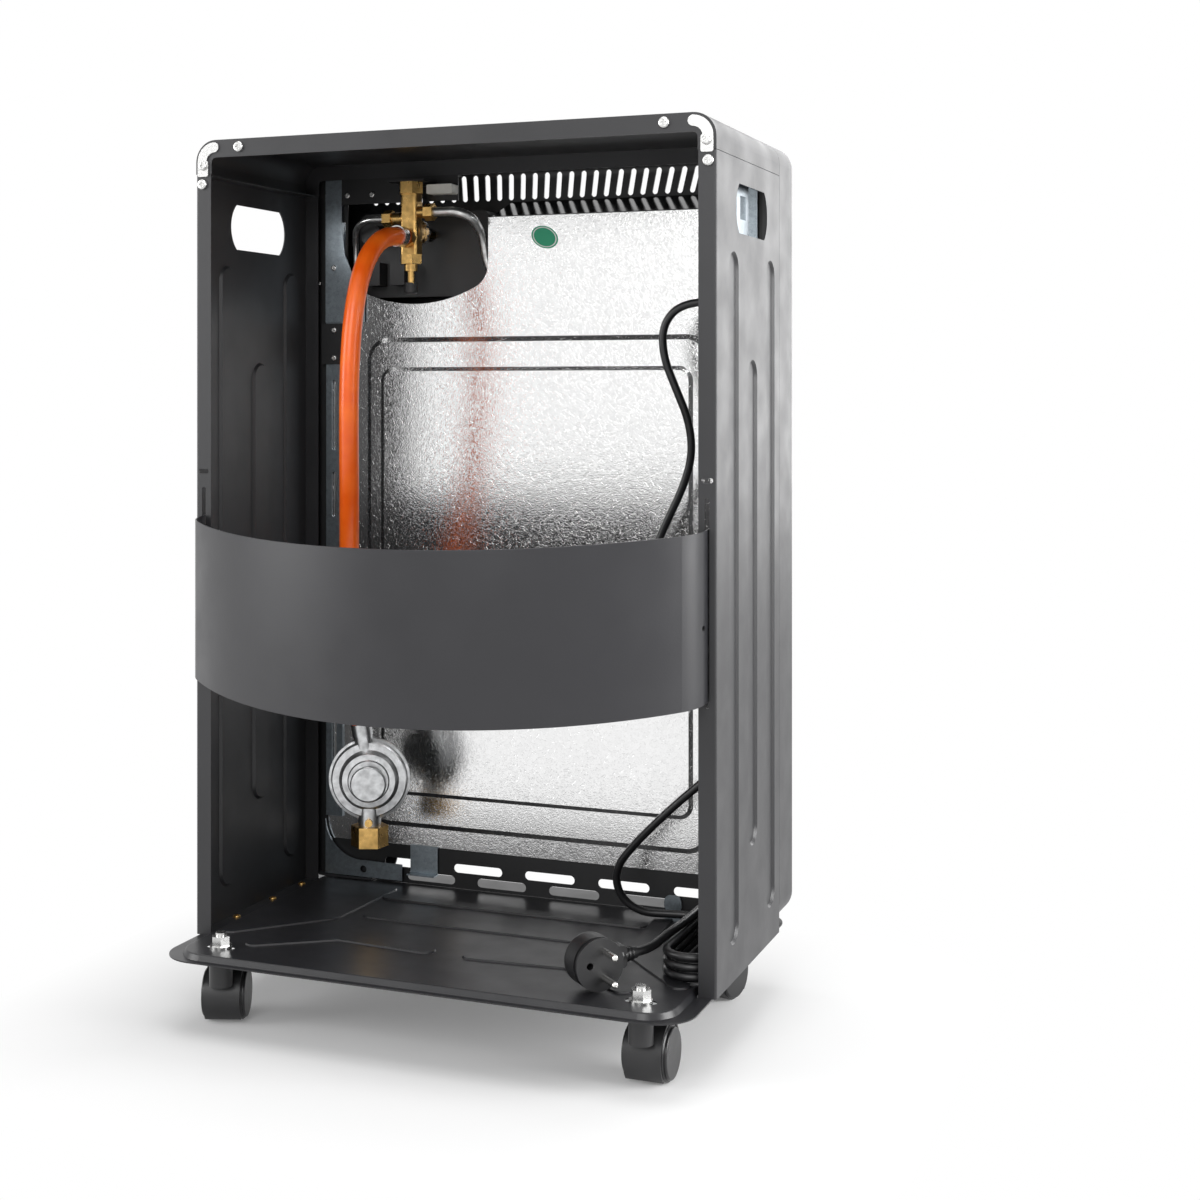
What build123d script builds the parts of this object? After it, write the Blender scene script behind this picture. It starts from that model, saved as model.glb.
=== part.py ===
from build123d import *
import math
import os

os.makedirs("parts", exist_ok=True)

# A mobile cabinet heater for a gas bottle, seen open from behind.
# +Z is up, -Y is the front with the burner, +Y is the open back, +X is to the right of someone in front.
# Lengths are millimetres. Every y below is measured from the rear plane of the side panels,
# and save() moves the whole object so that its origin lies on the floor under its middle.

# Cabinet
WIDTH = 430.0
HEIGHT = 691.0
SHELL_DEPTH = 180.0
FRONT_DEPTH = 235.0
SHEET = 1.0
FRONT_BOTTOM = 63.0
CORNER_R = 17.5
SEAM_Z = 664.0
REAR_FLANGE = 13.5
HALF = WIDTH / 2

# Tray and castors
TRAY_FLANGE_Z = 58.0
TRAY_TOP_Z = 62.5
TRAY_HALF = 211.5
TRAY_REAR_Y = 66.0
TRAY_FRONT_Y = -231.0
STUD_X = 170.4
STUD_REAR_Y = 36.0
STUD_FRONT_Y = -206.0
STUD_R = 4.0
WHEEL_R = 20.0
TRAIL = 24.0
RUNNING = 0.06
TOUCH = 0.03

# Interior
SHIELD_Y = -186.0
SHIELD_HALF = 195.0
SHIELD_Z = (96.0, 640.0)
CUTOUT_X = (41.0, 178.0)
CUTOUT_SIDE_Z = 588.0
CUTOUT_BOTTOM = 567.0

# Bottle band
BAND_HALF = 208.0
BAND_RISE = 105.0
BAND_END_R = 35.0
BAND_TOP_Z = 392.5
BAND_BOTTOM_Z = 269.5
BAND_TOP_DROOP = 12.0
BAND_BOTTOM_DROOP = 14.0
BAND_START_Y = 2.0
BAND_LIFT = 16.0

# Front
GUARD_WIRE_R = 1.3
GUARD_Y = -(FRONT_DEPTH + 4.0)
BURNER_X = 160.0
BURNER_Z = (262.0, 548.0)
SLOT_Z = (659.0, 682.0)
POCKET_Y = -202.0
VALVE = (103.0, -163.0)
KNOB_Z = 628.0

# Cords
CORD_D = 6.5
HOSE_D = 16.0
HANK_X = -188.0
HANK_R = 19.5
HANK_Y = (-122.0, -33.0)
HANK_TURNS = 3
HANK_CLIMB = 7.1

front_edge = GUARD_Y - GUARD_WIRE_R
rear_edge = BAND_START_Y + BAND_RISE
REAR_Y = -(front_edge + rear_edge) / 2


def save(name, shape):
    export_step(Pos(0, REAR_Y, 0) * shape, f"parts/{name}.step")


def block(x, y, z):
    size = (x[1] - x[0], y[1] - y[0], z[1] - z[0])
    return Pos((x[0] + x[1]) / 2, (y[0] + y[1]) / 2, (z[0] + z[1]) / 2) * Box(*size)


def rod(start, end, radius):
    a, b = Vector(*start), Vector(*end)
    length = (b - a).length
    return Plane(origin=a, z_dir=b - a) * Cylinder(radius, length, align=(Align.CENTER, Align.CENTER, Align.MIN))


def hexagon(start, end, across):
    a, b = Vector(*start), Vector(*end)
    face = Plane(origin=a, z_dir=b - a) * RegularPolygon(across / math.sqrt(3), 6)
    return extrude(face, (b - a).length, dir=b - a)


def facing_front(y):
    """A plane seen from behind: local x is x, local y is z, and it is extruded towards the front."""
    return Plane(origin=(0, y, 0), x_dir=(1, 0, 0), z_dir=(0, -1, 0))


def facing_back(y):
    """A plane whose local x is -x and local y is z, extruded towards the open back."""
    return Plane(origin=(0, y, 0), x_dir=(-1, 0, 0), z_dir=(0, 1, 0))


def facing_right(x):
    """A plane whose local x is y and local y is z, extruded towards +X."""
    return Plane(origin=(x, 0, 0), x_dir=(0, 1, 0), z_dir=(1, 0, 0))


def rounded(x, z, radius):
    return Pos((x[0] + x[1]) / 2, (z[0] + z[1]) / 2) * RectangleRounded(x[1] - x[0], z[1] - z[0], radius)


def mirrored(shape):
    return mirror(shape, about=Plane.YZ)


def pan_head(centre, direction, radius, height):
    """A low domed screw head with a cross recess."""
    plane = Plane(origin=Vector(*centre), z_dir=Vector(*direction))
    head = Cylinder(radius, height, align=(Align.CENTER, Align.CENTER, Align.MIN))
    head = fillet(head.edges().sort_by(Axis.Z)[-1], height * 0.6)
    slot = Pos(0, 0, height) * (Box(radius, 0.9, height) + Box(0.9, radius, height))
    return plane * (head - slot)


# Pressed steel tray: a raised plateau inside a flat border, with stiffening ridges
def base_tray():
    centre_y = (TRAY_REAR_Y + TRAY_FRONT_Y) / 2
    length = TRAY_REAR_Y - TRAY_FRONT_Y
    border = Pos(0, centre_y, TRAY_FLANGE_Z - SHEET) * extrude(RectangleRounded(2 * TRAY_HALF, length, 30), SHEET)
    rise = TRAY_TOP_Z - TRAY_FLANGE_Z
    side, end = 12.0, 5.0
    plateau = RectangleRounded(2 * (TRAY_HALF - side), length - 2 * end, 24)
    hollow = RectangleRounded(2 * (TRAY_HALF - side) - 2 * SHEET, length - 2 * end - 2 * SHEET, 23)
    raised = Pos(0, centre_y, TRAY_FLANGE_Z) * extrude(plateau, rise, taper=25)
    raised = fillet(raised.edges().group_by(Axis.Z)[-1], 1.5)
    under = Pos(0, centre_y, TRAY_FLANGE_Z - SHEET) * extrude(hollow, rise, taper=25)
    tray = border + raised
    ridge_z = TRAY_TOP_Z
    ridges = []
    rear_y, front_y = TRAY_REAR_Y - 48, -160.0
    ends = [((side_x * 150, rear_y), (side_x * 96, -20)) for side_x in (-1, 1)]
    ends += [((side_x * 186, rear_y - 24), (side_x * 130, -68)) for side_x in (-1, 1)]
    ends += [((side_x * 96, -20), (side_x * 20, -14)) for side_x in (-1, 1)]
    ends += [((side_x * 130, -68), (side_x * 124, front_y)) for side_x in (-1, 1)]
    ends += [((-110, front_y + 20), (110, front_y + 20)), ((-100, -84), (100, -84))]
    for a, b in ends:
        start, stop = Vector(*a), Vector(*b)
        middle = (start + stop) * 0.5
        angle = math.degrees(math.atan2(stop.Y - start.Y, stop.X - start.X))
        run = (stop - start).length
        outline = Pos(middle.X, middle.Y, ridge_z) * Rot(0, 0, angle) * SlotCenterToCenter(run, 17)
        ridges.append(extrude(outline, 1.2, taper=40))
    tray = tray + ridges - under
    holes = []
    for x in (-STUD_X, STUD_X):
        for y in (STUD_REAR_Y, STUD_FRONT_Y):
            slot = Pos(x, y, TRAY_TOP_Z - 3) * extrude(SlotOverall(24, 8.6), 6)
            holes.append(slot)
    return tray - holes


def handle_outline():
    """Flat top and bottom, with ends that bulge out as arcs."""
    half_flat, half_long, half_high = 36.0, 45.0, 18.5
    edges = Line((-half_flat, half_high), (half_flat, half_high))
    edges += ThreePointArc((half_flat, half_high), (half_long, 0), (half_flat, -half_high))
    edges += Line((half_flat, -half_high), (-half_flat, -half_high))
    edges += ThreePointArc((-half_flat, -half_high), (-half_long, 0), (-half_flat, half_high))
    return make_face(edges)


# Side panel: one folded sheet with a hand hole, three pressed beads and a slotted rear flange
def side_panel():
    outer = block((HALF - REAR_FLANGE, HALF), (-SHELL_DEPTH, 0), (TRAY_FLANGE_Z, SEAM_Z - 0.4))
    rear_edges = [e for e in outer.edges().filter_by(Axis.Z) if e.center().X > HALF - 1 and e.center().Y > -1]
    outer = fillet(rear_edges, 1.8)
    hollow = block((HALF - 40, HALF - SHEET), (-SHELL_DEPTH + SHEET, -SHEET), (TRAY_FLANGE_Z + SHEET, SEAM_Z - 1.4))
    panel = outer - hollow
    press = 2.0
    beads = [(-46.0, 85.0, 594.0), (-99.0, 146.0, 515.0), (-152.0, 85.0, 594.0)]
    for y, low, high in beads:
        shape = Pos(y, (low + high) / 2) * Rot(0, 0, 90) * SlotOverall(high - low, 26)
        inner = Plane(origin=(HALF - SHEET, 0, 0), x_dir=(0, -1, 0), z_dir=(-1, 0, 0))
        outside = Plane(origin=(HALF, 0, 0), x_dir=(0, -1, 0), z_dir=(-1, 0, 0))
        flipped = Pos(-y, (low + high) / 2) * Rot(0, 0, 90) * SlotOverall(high - low, 26)
        panel += extrude(inner * flipped, press, taper=45)
        panel -= extrude(outside * flipped, press, taper=45)
    hand = facing_right(HALF - 6) * (Pos(-97, 627) * handle_outline())
    panel -= extrude(hand, 12)
    flange_x = HALF - 7.0
    panel -= extrude(facing_front(3) * (Pos(flange_x, 427.5) * SlotOverall(9, 3.6)), 6)
    lift_slot = Pos(BAND_HALF, 340) * Rot(0, 0, 90) * SlotOverall(150, 3.4)
    panel -= extrude(facing_front(3) * lift_slot, 6)
    return panel


# Top shell: an inverted U with rounded corners and a turned-down rim at the back
def top_shell():
    tall = 120.0
    section = rounded((-HALF, HALF), (HEIGHT - tall, HEIGHT), CORNER_R)
    lining = rounded((-HALF + SHEET, HALF - SHEET), (HEIGHT - tall, HEIGHT - SHEET), CORNER_R - SHEET)
    opening = rounded((-HALF + 14, HALF - 14), (HEIGHT - tall, HEIGHT - 14), 4)
    shell = extrude(facing_front(0) * section, SHELL_DEPTH)
    shell -= extrude(facing_front(-SHEET) * lining, SHELL_DEPTH - 2 * SHEET)
    shell -= extrude(facing_front(1) * opening, SHELL_DEPTH + 2)
    rest = block((-HALF - 1, HALF + 1), (-SHELL_DEPTH - 1, 1), (HEIGHT - tall - 1, SEAM_Z))
    return shell - rest


# Zinc hook plates that tie the rolled corners of the top shell to the side panels
def corner_brackets():
    centre = (HALF - CORNER_R, HEIGHT - CORNER_R)
    outer_r, inner_r = CORNER_R - 2.0, 7.5
    ring = Pos(*centre) * (Circle(outer_r) - Circle(inner_r))
    quarter = Pos(centre[0] + 25, centre[1] + 25) * Rectangle(50, 50)
    leg = rounded((HALF - 11.5, HALF - 2.0), (SEAM_Z - 2.0, centre[1] + 1), 1.5)
    tip = Pos(centre[0] + 0.5, centre[1] + (outer_r + inner_r) / 2) * Circle((outer_r - inner_r) / 2)
    plate = (ring & quarter) + leg + tip
    right = extrude(facing_back(TOUCH) * mirror(plate, about=Plane.YZ), 1.2)
    return [right, mirrored(right)]


def sticker():
    label = Pos(-11.0, 621.5) * Rot(0, 0, 24) * Ellipse(12.5, 9.0)
    return extrude(facing_back(SHIELD_Y + TOUCH) * mirror(label, about=Plane.YZ), 0.3)


def all_screws():
    heads = []
    rear = 1.2 + TOUCH
    for side in (-1, 1):
        heads.append(pan_head((side * 208.0, rear, 670.5), (0, 1, 0), 3.6, 2.2))
        heads.append(pan_head((side * 209.0, 0, 656.0), (0, 1, 0), 4.2, 2.4))
        heads.append(pan_head((side * 176.0, 0, 684.5), (0, 1, 0), 4.2, 2.4))
        for z in (545.0, 520.5):
            heads.append(pan_head((side * 187.5, -182.5, z), (0, 1, 0), 2.6, 1.6))
        heads.append(pan_head((side * 204.5, -186.0, 587.0), (0, 1, 0), 2.4, 1.5))
        heads.append(pan_head((side * 204.5, -186.0, 300.0), (0, 1, 0), 2.4, 1.5))
    heads.append(pan_head((187.5, -182.5, 600.0), (0, 1, 0), 2.6, 1.6))
    for x in (172.0, 148.0):
        heads.append(pan_head((x, -178.8, 663.0), (0, 1, 0), 2.6, 1.6))
    return heads


def tray_rivets():
    heads = []
    for side in (-1, 1):
        for y in (-50.0, -109.0, -160.0):
            base = Vector(side * 207.5, y, TRAY_FLANGE_Z + SHEET)
            heads.append(pan_head(base, (0, 0, 1), 3.2, 1.8))
    return heads


# Front frame: deep pressed fascia with slots, a burner opening and a toe opening
def front_frame():
    depth = FRONT_DEPTH - SHELL_DEPTH - 0.4
    wall = 1.4
    back_y = -SHELL_DEPTH - 0.4
    outline = rounded((-HALF, HALF), (FRONT_BOTTOM, HEIGHT), CORNER_R)
    frame = extrude(facing_front(back_y) * outline, depth)
    frame = fillet(frame.edges().group_by(Axis.Y)[0], 14.0)
    lining = rounded((-HALF + wall, HALF - wall), (FRONT_BOTTOM + wall, HEIGHT - wall), CORNER_R - wall)
    hollow = extrude(facing_front(back_y + 0.1) * lining, depth - wall + 0.1)
    hollow = fillet(hollow.edges().group_by(Axis.Y)[0], 12.6)
    frame -= hollow
    through = facing_front(-FRONT_DEPTH + 20)
    cuts = [extrude(through * rounded((-BURNER_X, BURNER_X), BURNER_Z, 14), 40)]
    cuts.append(extrude(through * rounded((44, 174), (572, 650), 10), 40))
    cuts.append(block((-150, 150), (-FRONT_DEPTH - 5, -SHELL_DEPTH + 5), (50, 92)))
    cuts += [rod((x, STUD_FRONT_Y, 50), (x, STUD_FRONT_Y, 75), 13.0) for x in (-STUD_X, STUD_X)]
    slots = []
    slot_pitch, slot_count = 11.2, 32
    middle = (slot_count - 1) / 2
    for i in range(slot_count):
        x = (i - middle) * slot_pitch
        lean = 0.085 * (40 - x)
        slot = Pos(x, sum(SLOT_Z) / 2) * Rot(0, 0, 90 + lean) * SlotOverall(SLOT_Z[1] - SLOT_Z[0], 4.6)
        slots.append(slot)
    cuts += [extrude(through * slot, 40) for slot in slots]
    louvre_count, louvre_pitch, louvre_half = 6, 20.0, 125.0
    hoods = []
    for i in range(louvre_count):
        z = 114.0 + i * louvre_pitch
        cuts.append(block((-louvre_half, louvre_half), (-FRONT_DEPTH - 2, -FRONT_DEPTH + 4), (z, z + 7)))
        side = Polyline((-FRONT_DEPTH + 0.5, z + 10), (-FRONT_DEPTH - 5, z + 1), (-FRONT_DEPTH - 5, z), close=False)
        side += Polyline((-FRONT_DEPTH - 5, z), (-FRONT_DEPTH - 4, z), (-FRONT_DEPTH + 0.5, z + 8), close=False)
        side += Line((-FRONT_DEPTH + 0.5, z + 8), (-FRONT_DEPTH + 0.5, z + 10))
        hoods.append(extrude(facing_right(-louvre_half - 2) * make_face(side), 2 * louvre_half + 4))
    return frame - cuts + hoods


# Inner frame: black plate between cabinet and heater, with two rows of air slots at its foot
def inner_frame():
    y = SHIELD_Y - SHEET
    plate = rounded((-213.0, 213.0), (FRONT_BOTTOM + 1.8, HEIGHT - 1.8), 16.4)
    plate += rounded((-149.0, 149.0), (TRAY_TOP_Z + 0.2, 90.0), 2)
    opening = rounded((-176.0, 176.0), (98.0, 677.6), 3)
    frame = extrude(facing_front(y) * (plate - opening), SHEET)
    for side in (-1, 1):
        leg_x = sorted((side * 213.0, side * 212.0))
        frame += block(leg_x, (y - 0.5, -SHELL_DEPTH), (90.0, SEAM_Z - 4))
    slots = [(51.0 - 66.0 * k, 79.8) for k in (-1, 0, 1, 2, 3)]
    slots += [(95.0 - 66.0 * k, 69.2) for k in range(4)]
    for x, z in slots:
        frame -= extrude(facing_front(y + 2) * (Pos(x, z) * SlotOverall(45, 7.6)), 6)
    return frame


# Heat shield: bright galvanised sheet with a double step pressed towards the bottle
def heat_shield():
    sheet = extrude(facing_front(SHIELD_Y) * rounded((-SHIELD_HALF, SHIELD_HALF), SHIELD_Z, 2), SHEET)
    steps = [
        ((-156.0, 156.0), (112.0, 538.0), 20.0, SHIELD_Y, 2.0),
        ((-142.0, 142.0), (140.0, 512.0), 12.0, SHIELD_Y + 2.0, 1.6),
    ]
    hollows = []
    for x, z, radius, y, rise in steps:
        sheet += extrude(facing_back(y) * rounded(x, z, radius), rise, taper=65)
        inner_x = (x[0] + SHEET, x[1] - SHEET)
        inner_z = (z[0] + SHEET, z[1] - SHEET)
        hollows.append(extrude(facing_back(y - SHEET) * rounded(inner_x, inner_z, radius - SHEET), rise, taper=65))
    sheet -= hollows
    low, high = CUTOUT_X
    edges = Polyline((low, CUTOUT_SIDE_Z), (low, 760.0), (high, 760.0), (high, CUTOUT_SIDE_Z), close=False)
    edges += ThreePointArc((high, CUTOUT_SIDE_Z), ((low + high) / 2, CUTOUT_BOTTOM), (low, CUTOUT_SIDE_Z))
    cutout = make_face(edges)
    cutout = fillet(cutout.vertices().sort_by(Axis.Y)[:2], 22)
    return sheet - extrude(facing_front(SHIELD_Y + 5) * cutout, 12)


# Galvanised columns beside the shield, each a shallow channel with a long slot
def shield_columns():
    column = block((180.0, 196.0), (SHIELD_Y, SHIELD_Y + 2.2), (116.0, 677.5))
    column -= block((181.0, 195.0), (SHIELD_Y - 1, SHIELD_Y + 1.2), (115.0, 678.5))
    slots = [(470.0, 62.0), (400.0, 40.0), (250.0, 62.0), (180.0, 40.0)]
    for z, length in slots:
        slot = Pos(188, z) * Rot(0, 0, 90) * SlotOverall(length, 4.6)
        column -= extrude(facing_front(SHIELD_Y + 5) * slot, 8)
    return [column, mirrored(column)]


def column_plates():
    plate = block((176.5, 200.0), (SHIELD_Y + 2.2, SHIELD_Y + 3.5), (515.0, 551.0))
    plate += block((198.7, 200.0), (SHIELD_Y, SHIELD_Y + 3.5), (515.0, 551.0))
    return [plate, mirrored(plate)]


# Small galvanised brackets: column foot and head, shield foot, shield tab and the strap behind the hand hole
def galvanised_brackets():
    y = SHIELD_Y + 2.3
    edges = Polyline((196.0, 113.0), (196.0, 65.0), (121.0, 65.0), (121.0, 79.0), (157.0, 79.5), close=False)
    edges += ThreePointArc((157.0, 79.5), (185.0, 89.0), (196.0, 113.0))
    foot = make_face(edges) - Pos(158.7, 71.7) * Circle(3.2)
    foot = extrude(facing_front(y + 1.2) * foot, 1.2)
    head = Polyline(
        (196.0, 678.0), (180.0, 678.0), (180.0, 640.0), (177.0, 612.0), (168.0, 590.0),
        (158.0, 578.0), (158.0, 552.0), (196.0, 552.0), close=True,
    )
    head = extrude(facing_front(y + 1.2) * make_face(head), 1.2)
    shield_foot = block((88.0, 114.0), (SHIELD_Y, SHIELD_Y + 1.2), (73.0, 97.0))
    shield_foot += block((88.0, 114.0), (SHIELD_Y, SHIELD_Y + 9.0), (72.0, 73.2))
    tab = extrude(facing_front(SHIELD_Y + 1.3) * rounded((-132.0, -117.0), (62.6, 77.0), 6), 1.2)
    strap = block((-206.5, -205.3), (-118.0, -84.0), (590.0, SEAM_Z - 1.6))
    strap -= block((-208.0, -204.0), (-110.0, -94.0), (622.0, 640.0))
    strap += block((-206.5, -192.0), (-118.0, -84.0), (590.0, 591.2))
    spacer = rod((-213.97, -101.0, 655.0), (-206.53, -101.0, 655.0), 5.0)
    return [foot, head, shield_foot, tab, strap, spacer]


# Sloping deflector that turns warm air out through the top slots
def air_deflector():
    slope = Polyline((-188.0, 628.0), (-188.0, 641.0), (-232.5, 657.2), (-232.5, 656.1), (-189.0, 640.2), (-189.0, 628.0), close=True)
    return extrude(facing_right(-196.0) * make_face(slope), 234.0)


# Control pocket: a moulded dish open to the front, with the knob and switches on its floor
def control_pocket():
    wall = 2.0
    front = -FRONT_DEPTH - 1.0
    outline = rounded((46.0, 172.0), (574.0, 648.0), 8)
    dish = extrude(facing_front(POCKET_Y) * outline, POCKET_Y - front)
    inside = rounded((46.0 + wall, 172.0 - wall), (574.0 + wall, 648.0 - wall), 6)
    dish -= extrude(facing_front(POCKET_Y - wall) * inside, POCKET_Y - front)
    rim = rounded((40.0, 178.0), (568.0, 654.0), 12) - rounded((48.0, 170.0), (576.0, 646.0), 6)
    dish += extrude(facing_front(-FRONT_DEPTH) * rim, 1.6)
    dish -= rod((VALVE[0], POCKET_Y + 5, KNOB_Z), (VALVE[0], POCKET_Y - 8, KNOB_Z), 6.0)
    dish -= rod((152.0, POCKET_Y + 5, 628.0), (152.0, POCKET_Y - 8, 628.0), 6.1)
    for x in (128.0, 152.0):
        dish -= block((x - 7.3, x + 7.3), (POCKET_Y - 8, POCKET_Y + 5), (583.7, 604.3))
    return dish


# Knob, its spindle and the cam disc that turns with it
def control_knob():
    x, z = VALVE[0], KNOB_Z
    back = POCKET_Y - 7.5
    body = rod((x, back, z), (x, back - 16.0, z), 17.0)
    body = fillet(body.edges().group_by(Axis.Y)[0], 3.0)
    flutes = [rod((x + 18.6 * math.cos(a), back + 1, z + 18.6 * math.sin(a)), (x + 18.6 * math.cos(a), back - 12, z + 18.6 * math.sin(a)), 2.6)
              for a in [math.radians(15 + 30 * k) for k in range(12)]]
    grip = block((x - 3.0, x + 3.0), (back - 21.0, back - 14.0), (z - 14.0, z + 14.0))
    grip = fillet(grip.edges().filter_by(Axis.Z), 2.0)
    pointer = block((x - 0.8, x + 0.8), (back - 21.6, back - 20.5), (z + 5.0, z + 13.0))
    bore = rod((x, back + 1, z), (x, back - 9.0, z), 3.1)
    return body - flutes + grip + pointer - bore


def knob_spindle():
    x, z = VALVE[0], KNOB_Z
    return rod((x, VALVE[1] - 12.0, z), (x, POCKET_Y - 16.4, z), 3.05)


def cam_disc():
    x, z = VALVE[0], KNOB_Z
    disc = rod((x, -176.0, z), (x, -180.0, z), 11.0)
    disc -= [rod((x + 11 * math.cos(a), -175, z + 11 * math.sin(a)), (x + 11 * math.cos(a), -181, z + 11 * math.sin(a)), 1.6)
             for a in [math.radians(18 + 45 * k) for k in range(5)]]
    return disc - rod((x, -170, z), (x, -185, z), 3.12)


def igniter_button():
    button = rod((152.0, POCKET_Y + 9.0, 628.0), (152.0, POCKET_Y - 12.0, 628.0), 5.6)
    cap = rod((152.0, POCKET_Y - 11.0, 628.0), (152.0, POCKET_Y - 14.5, 628.0), 7.5)
    cap = fillet(cap.edges().group_by(Axis.Y)[0], 1.2)
    return button + cap


# Bought-in bodies behind the pocket: the spark generator and the two switch cases
def switch_bodies():
    spark = rod((152.0, POCKET_Y + 0.2, 628.0), (152.0, POCKET_Y + 18.0, 628.0), 9.5)
    spark -= rod((152.0, POCKET_Y - 1.0, 628.0), (152.0, POCKET_Y + 16.4, 628.0), 5.9)
    cases = []
    for x in (128.0, 152.0):
        case = block((x - 7.0, x + 7.0), (POCKET_Y - 1.8, POCKET_Y + 15.0), (584.0, 604.0))
        case += block((x - 8.6, x + 8.6), (POCKET_Y - 3.6, POCKET_Y - 2.1), (582.4, 605.6))
        case -= block((x - 5.6, x + 5.6), (POCKET_Y - 10.0, POCKET_Y + 8.0), (585.2, 602.8))
        cases.append(case)
    return [spark] + cases


def rocker(x):
    """A rocker with two faces that meet at a shallow angle over its pivot."""
    y, z = POCKET_Y - 1.0, 594.0
    side = Polyline(
        (y + 5.0, z - 6.0), (y + 5.0, z + 6.0), (y - 2.6, z + 8.0), (y - 4.4, z), (y - 5.9, z - 8.0), close=True,
    )
    pivot = rod((x - 5.2, y + 2.0, z), (x + 5.2, y + 2.0, z), 4.0)
    return extrude(facing_right(x - 5.2) * make_face(side), 10.4) + pivot


# Valve: brass body with unions, a nozzle for the hose and the flame-failure magnet below
def gas_valve_body():
    x, y = VALVE
    body = block((x - 7.6, x + 7.6), (y - 8.0, y + 6.0), (608.0, 660.0))
    body = fillet(body.edges().filter_by(Axis.Z), 2.5)
    body += rod((x - 14.0, y, 644.0), (x, y, 644.0), 5.0) + rod((x, y, 639.5), (x + 17.0, y, 639.5), 5.0)
    body += rod((x, y, KNOB_Z), (x, y - 12.5, KNOB_Z), 8.0) + rod((x, y, 622.0), (x, y + 8.5, 622.0), 7.0)
    return body - rod((x, y - 5.0, KNOB_Z), (x, y - 14.0, KNOB_Z), 3.12)


def valve_fittings():
    x, y = VALVE
    fittings = [hexagon((x, y, 660.0), (x, y, 670.0), 19.0), hexagon((x, y, 600.0), (x, y, 608.0), 17.0)]
    fittings.append(hexagon((x + 17.0, y, 639.5), (x + 25.0, y, 639.5), 13.0))
    fittings.append(hexagon((x - 22.0, y, 644.0), (x - 14.0, y, 644.0), 13.0))
    nozzle = hexagon((x, y + 8.5, 622.0), (x, y + 13.5, 622.0), 15.0)
    nozzle += rod((x, y + 13.0, 622.0), (x, y + 17.0, 622.0), 6.0)
    fittings.append(nozzle)
    return fittings


def magnet_unit():
    x, y = VALVE
    return rod((x, y, 584.0), (x, y, 600.0), 3.0) + rod((x, y, 594.0), (x, y, 600.0), 5.6)


def magnet_cap():
    x, y = VALVE
    cap = rod((x, y, 574.5), (x, y, 584.0), 5.8)
    return fillet(cap.edges().group_by(Axis.Z)[0], 1.5)


def valve_bracket():
    x, y = VALVE
    plate = block((66.0, 178.0), (-180.3, -178.8), (655.0, 677.0))
    plate -= block((94.0, 114.0), (-185.0, -170.0), (650.0, 668.0))
    shelf = block((86.0, 120.0), (-178.8, y + 12.0), (670.0, 671.5))
    web = block((66.0, 178.0), (SHIELD_Y - SHEET, -178.8), (675.5, 677.0))
    return plate + shelf + web


def ceramic_block():
    piece = block((66.0, 90.0), (-178.8, -166.0), (660.0, 668.0))
    return fillet(piece.edges().filter_by(Axis.Y), 1.2)


def corner_radii(points):
    """0.45 of the shorter run at each corner, divided by the tangent of half the turn."""
    radii = []
    for a, b, c in zip(points, points[1:], points[2:]):
        before, after = Vector(*b) - Vector(*a), Vector(*c) - Vector(*b)
        half_turn = math.radians(before.get_angle(after)) / 2
        radii.append(0.45 * min(before.length, after.length) / math.tan(half_turn))
    return radii


def tube(name, points, radius):
    radii = corner_radii(points)
    path = FilletPolyline(*points, radius=radii)
    start = Vector(*points[1]) - Vector(*points[0])
    solid = sweep(Plane(origin=points[0], z_dir=start) * Circle(radius), path=path)
    expected = math.pi * radius ** 2 * path.length
    print(f"{name}: length {path.length:.1f} mm, least radius {min(radii):.1f} mm, volume {solid.volume / expected:.3f} of section x length")
    return solid


# Aluminium pipes from the valve to the burner and the pilot, in front of the shield
def gas_pipes():
    x, y = VALVE
    main = [
        (x - 22.0, y, 644.0), (61.0, y, 644.0), (49.0, -170.0, 639.0), (47.0, -188.0, 625.0),
        (46.0, -194.5, 602.0), (36.0, -196.5, 580.0), (27.0, -201.5, 562.0), (25.0, -203.0, 542.7),
    ]
    pilot = [
        (x + 25.0, y, 639.5), (146.0, y, 639.5), (162.0, -174.0, 634.0), (170.0, -190.5, 616.0),
        (172.0, -194.0, 585.0), (164.0, -196.0, 556.0), (157.0, -205.0, 530.0), (156.5, -207.0, 500.0),
    ]
    return [tube("burner pipe", main, 4.0), tube("pilot pipe", pilot, 2.5)]


# Burner: steel box, three ceramic plaques, polished reflector, pilot and the wire guard
def burner_box():
    box_y = (-214.0, -192.0)
    box = block((-153.0, 153.0), box_y, (386.0, 542.0))
    box -= block((-151.5, 151.5), (-220.0, -193.5), (387.5, 540.5))
    for x in (-50.5, 50.5):
        box += block((x - 1.5, x + 1.5), (-213.9, -193.4), (387.0, 541.0))
    box += block((-153.0, 153.0), (SHIELD_Y - SHEET - 5.2, SHIELD_Y - SHEET), (530.0, 531.5))
    return box


def ceramic_plaques():
    tiles = []
    for x in (-101.2, 0.0, 101.2):
        tile = block((x - 48.4, x + 48.4), (-215.5, -203.0), (389.0, 539.0))
        holes = GridLocations(8.0, 8.0, 11, 18)
        dimples = [Plane(origin=(x, -215.5, 464.0), x_dir=(1, 0, 0), z_dir=(0, 1, 0)) * spot * Rectangle(2.4, 2.4) for spot in holes]
        tiles.append(tile - [extrude(dimple, 1.5) for dimple in dimples[::9]])
    return tiles


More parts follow.
